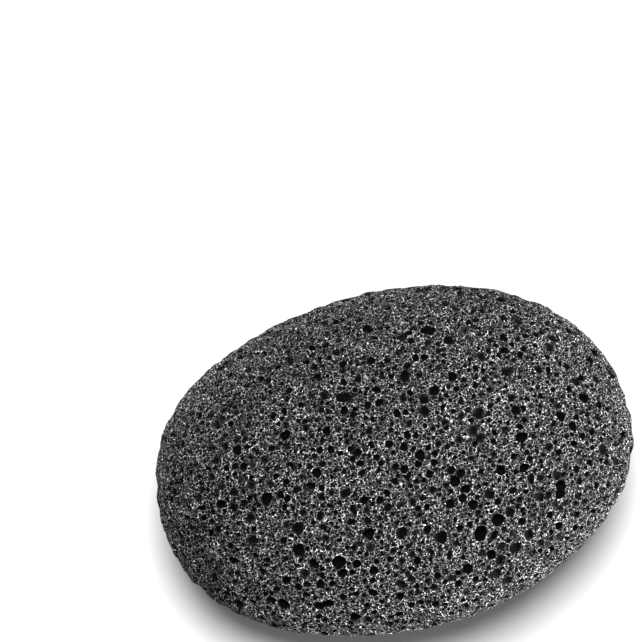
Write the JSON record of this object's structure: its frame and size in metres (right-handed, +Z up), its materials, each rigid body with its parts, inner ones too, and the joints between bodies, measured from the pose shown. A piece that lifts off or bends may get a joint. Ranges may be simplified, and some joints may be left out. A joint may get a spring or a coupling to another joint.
{
  "type": "pumice stone",
  "caption": "Oval hand-held stone of dark vesicular lava, pitted all over with bubble pores, for rubbing rough skin; lies on its level underside.",
  "frame": {"origin": "on the resting surface, under the middle of the stone's bounding box", "axes": "+X along the stone's length, +Y along its width, +Z up through its thickness"},
  "size_m": [0.1004, 0.0716, 0.0401],
  "materials": {
    "dark_lava": "matt, rough and porous: black pore mouths in a mid grey froth with fine pale glints"
  },
  "bodies": {
    "root": {"pumice_stone": "dark_lava"}
  },
  "joints": []
}
